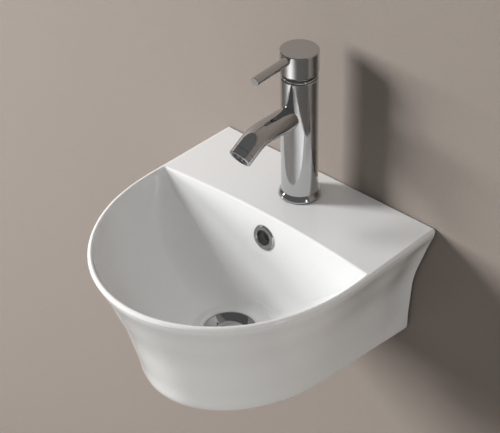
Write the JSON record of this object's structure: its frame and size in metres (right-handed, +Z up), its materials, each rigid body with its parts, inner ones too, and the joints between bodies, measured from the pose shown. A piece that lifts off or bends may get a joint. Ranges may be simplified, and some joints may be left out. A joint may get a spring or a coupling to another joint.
{
  "type": "wall hung basin",
  "caption": "Wall-hung D-shaped ceramic hand basin with flared skirt, rear deck, single-lever mixer tap, overflow ring and sprung plug waste.",
  "frame": {"origin": "on the wall plane, midway between the centres of the two wall-fixing holes", "axes": "+Y into the wall, so the bowl reaches out along -Y; +Z up; +X to the right for someone who stands in front of the basin and faces the wall"},
  "size_m": [0.3343, 0.34, 0.4052],
  "materials": {
    "glazed_ceramic": "glossy white glaze",
    "chrome": "polished chrome plate",
    "brass": "turned brass",
    "steel": "zinc-plated steel",
    "rubber": "moulded rubber",
    "white_plastic": "moulded plastic",
    "grey_plastic": "moulded plastic",
    "disc_ceramic": "lapped alumina"
  },
  "bodies": {
    "basin": {"ceramic_basin": "glazed_ceramic", "overflow_ring": "chrome", "waste_flange_seal": "rubber", "waste_body": "chrome", "waste_lower_seal": "rubber", "waste_slip_washer": "white_plastic", "waste_backnut": "brass", "plug_guide": "white_plastic", "plug_spring": "steel", "tap_body": "chrome", "tap_foot": "chrome", "tap_base_seal": "rubber", "tap_spout": "chrome", "aerator_housing": "chrome", "aerator_insert": "grey_plastic", "aerator_washer": "rubber", "cartridge_base": "grey_plastic", "cartridge_housing": "grey_plastic", "fixed_disc": "disc_ceramic", "cartridge_nut": "chrome", "fixing_stud": "brass", "horseshoe_seal": "rubber", "horseshoe_washer": "steel", "stud_nut": "brass"},
    "mixing_rotor": {"cartridge_rotor": "white_plastic", "pivot_pin": "steel"},
    "handle": {"cartridge_spindle": "brass", "lever_head": "chrome", "lever_pin": "chrome", "grub_screw": "steel"},
    "disc_slider": {"moving_disc": "disc_ceramic", "disc_carrier": "white_plastic"},
    "plug": {"plug_cap": "chrome", "plug_seal": "rubber", "plug_spindle": "brass"}
  },
  "joints": [
    {"name": "handle_turn", "type": "hinge", "parent": "basin", "child": "mixing_rotor", "pos_m": [0, -0.0488, 0.2132], "axis": [0, 0, 1], "range_deg": [-45, 45]},
    {"name": "handle_lift", "type": "hinge", "parent": "mixing_rotor", "child": "handle", "pos_m": [0, -0.0488, 0.2132], "axis": [-1, 0, 0], "range_deg": [0, 16]},
    {"name": "disc_travel", "type": "slide", "parent": "mixing_rotor", "child": "disc_slider", "axis": [0, -1, 0], "range_m": [0, 0.00296]},
    {"name": "plug_press", "type": "slide", "parent": "basin", "child": "plug", "axis": [0, 0, 1], "range_m": [-0.0061, 0], "stiffness_N_per_m": 200, "springref_m": 0.012, "deforming": ["plug_spring"]}
  ],
  "couplings": [
    {"joint": "disc_travel", "follows": "handle_lift", "m_per_rad": 0.0105}
  ]
}
